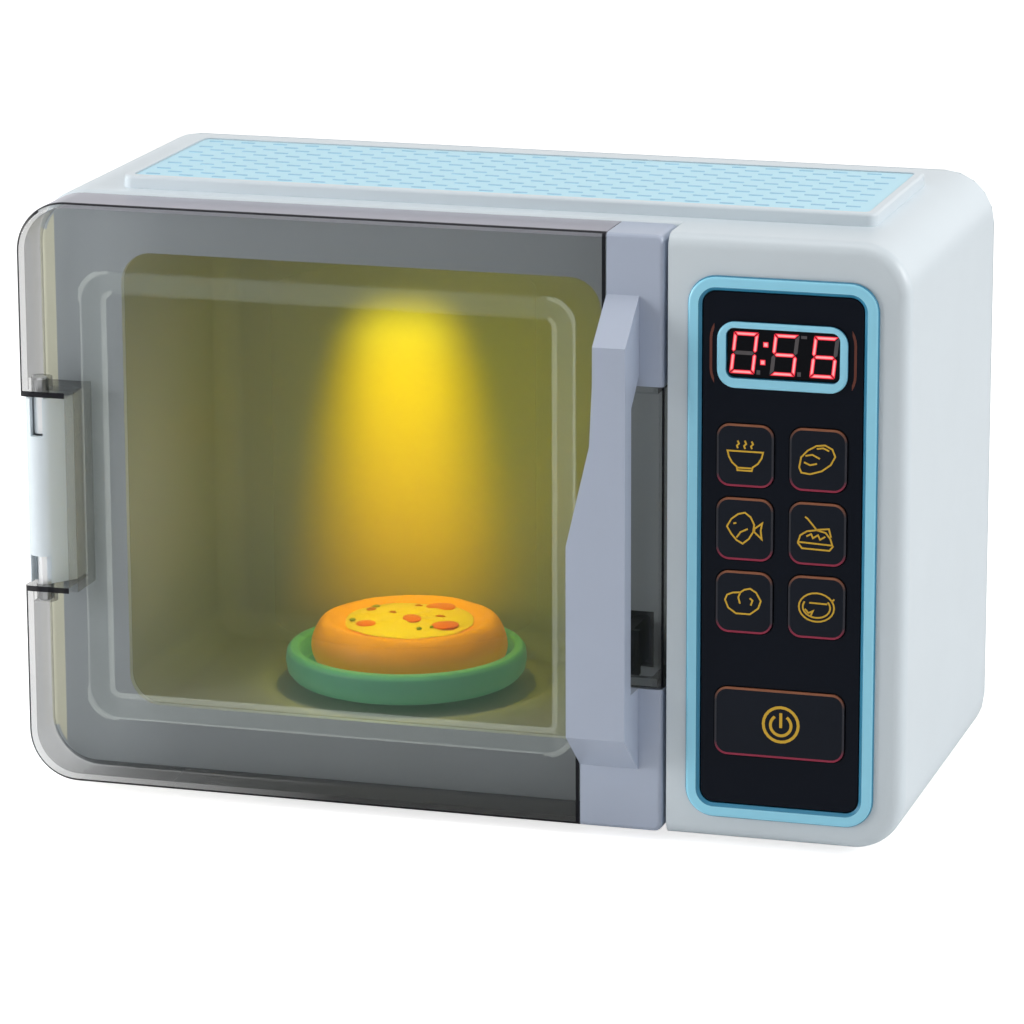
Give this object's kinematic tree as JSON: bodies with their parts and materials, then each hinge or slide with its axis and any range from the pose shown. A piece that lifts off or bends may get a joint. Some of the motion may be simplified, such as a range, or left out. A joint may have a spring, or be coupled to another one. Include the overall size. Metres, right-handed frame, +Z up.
{
  "type": "toy microwave",
  "caption": "Toy microwave with a swinging see-through door, a turntable with toy food, a key panel, a lamp and a battery bay.",
  "frame": {"origin": "on the table under the middle of the whole toy's box", "axes": "+X to the right along the front, +Y from the front to the back, +Z up"},
  "size_m": [0.255, 0.128, 0.1746],
  "materials": {
    "white_plastic": "satin injection moulded",
    "blue_plastic": "satin injection moulded",
    "black_panel": "gloss",
    "key_plastic": "gloss with printed icons",
    "display_pane": "high gloss",
    "grey_plastic": "satin injection moulded",
    "liner_plastic": "matt",
    "smoky_plastic": "clear tinted, polished",
    "green_plastic": "satin",
    "crust_plastic": "painted matt",
    "topping_plastic": "painted satin",
    "lens_plastic": "milky diffuser",
    "dark_plastic": "matt",
    "nylon": "matt",
    "foot_rubber": "matt",
    "circuit_board": "lacquered",
    "motor_steel": "plated",
    "screw_steel": "zinc plated",
    "contact_steel": "nickel plated",
    "cell_sleeve": "plain sleeve"
  },
  "bodies": {
    "housing": {"housing_shell": "white_plastic", "top_panel": "blue_plastic", "chamber_liner": "liner_plastic", "catch_striker": "dark_plastic", "foot_1": "foot_rubber", "foot_2": "foot_rubber", "foot_3": "foot_rubber", "foot_4": "foot_rubber", "lamp_lens": "lens_plastic", "lamp_board": "circuit_board", "spindle_bush": "dark_plastic", "turntable_motor": "motor_steel", "hinge_pin_upper": "screw_steel", "hinge_pin_lower": "screw_steel", "control_bezel": "blue_plastic", "control_panel": "black_panel", "display_bezel": "blue_plastic", "display_window": "display_pane", "display_module": "dark_plastic", "key_mat": "foot_rubber", "main_board": "circuit_board", "board_screw_1": "screw_steel", "board_screw_2": "screw_steel", "board_screw_3": "screw_steel", "board_screw_4": "screw_steel", "rear_cover": "white_plastic", "speaker": "dark_plastic", "rear_cover_screw_1": "screw_steel", "rear_cover_screw_2": "screw_steel", "rear_cover_screw_3": "screw_steel", "rear_cover_screw_4": "screw_steel", "battery_contact_lower": "contact_steel", "battery_contact_upper": "contact_steel", "battery_1": "cell_sleeve", "battery_2": "cell_sleeve", "battery_3": "cell_sleeve", "battery_door": "white_plastic", "battery_door_screw": "screw_steel"},
    "door": {"door_panel": "smoky_plastic", "door_handle": "grey_plastic", "handle_screw_upper": "screw_steel", "handle_screw_lower": "screw_steel", "door_catch": "dark_plastic"},
    "turntable": {"turntable_plate": "green_plastic", "turntable_spindle": "nylon", "turntable_gear": "nylon"},
    "pinion": {"motor_pinion": "nylon"},
    "pizza": {"pizza_crust": "crust_plastic", "pizza_topping": "topping_plastic"},
    "soup_key": {"key_soup": "key_plastic"},
    "bread_key": {"key_bread": "key_plastic"},
    "fish_key": {"key_fish": "key_plastic"},
    "roast_key": {"key_roast": "key_plastic"},
    "potato_key": {"key_potato": "key_plastic"},
    "pie_key": {"key_pie": "key_plastic"},
    "power_key": {"key_power": "key_plastic"}
  },
  "joints": [
    {"name": "door_hinge", "type": "hinge", "parent": "housing", "child": "door", "pos_m": [-0.1229, -0.0449, 0.087], "axis": [0, 0, -1], "range_deg": [0, 110]},
    {"name": "turntable_spin", "type": "hinge", "parent": "housing", "child": "turntable", "pos_m": [-0.0325, 0.0085, 0.02], "axis": [0, 0, 1], "continuous": true},
    {"name": "pinion_spin", "type": "hinge", "parent": "housing", "child": "pinion", "pos_m": [-0.00235, 0.0085, 0.015], "axis": [0, 0, 1], "continuous": true},
    {"name": "pizza_lift", "type": "slide", "parent": "turntable", "child": "pizza", "axis": [0, 0, 1], "range_m": [0, 0.03]},
    {"name": "soup_press", "type": "slide", "parent": "housing", "child": "soup_key", "axis": [0, 1, 0], "range_m": [0, 0.0012], "stiffness_N_per_m": 300},
    {"name": "bread_press", "type": "slide", "parent": "housing", "child": "bread_key", "axis": [0, 1, 0], "range_m": [0, 0.0012], "stiffness_N_per_m": 300},
    {"name": "fish_press", "type": "slide", "parent": "housing", "child": "fish_key", "axis": [0, 1, 0], "range_m": [0, 0.0012], "stiffness_N_per_m": 300},
    {"name": "roast_press", "type": "slide", "parent": "housing", "child": "roast_key", "axis": [0, 1, 0], "range_m": [0, 0.0012], "stiffness_N_per_m": 300},
    {"name": "potato_press", "type": "slide", "parent": "housing", "child": "potato_key", "axis": [0, 1, 0], "range_m": [0, 0.0012], "stiffness_N_per_m": 300},
    {"name": "pie_press", "type": "slide", "parent": "housing", "child": "pie_key", "axis": [0, 1, 0], "range_m": [0, 0.0012], "stiffness_N_per_m": 300},
    {"name": "power_press", "type": "slide", "parent": "housing", "child": "power_key", "axis": [0, 1, 0], "range_m": [0, 0.0012], "stiffness_N_per_m": 300}
  ],
  "couplings": [
    {"joint": "pinion_spin", "follows": "turntable_spin", "ratio": -4}
  ]
}
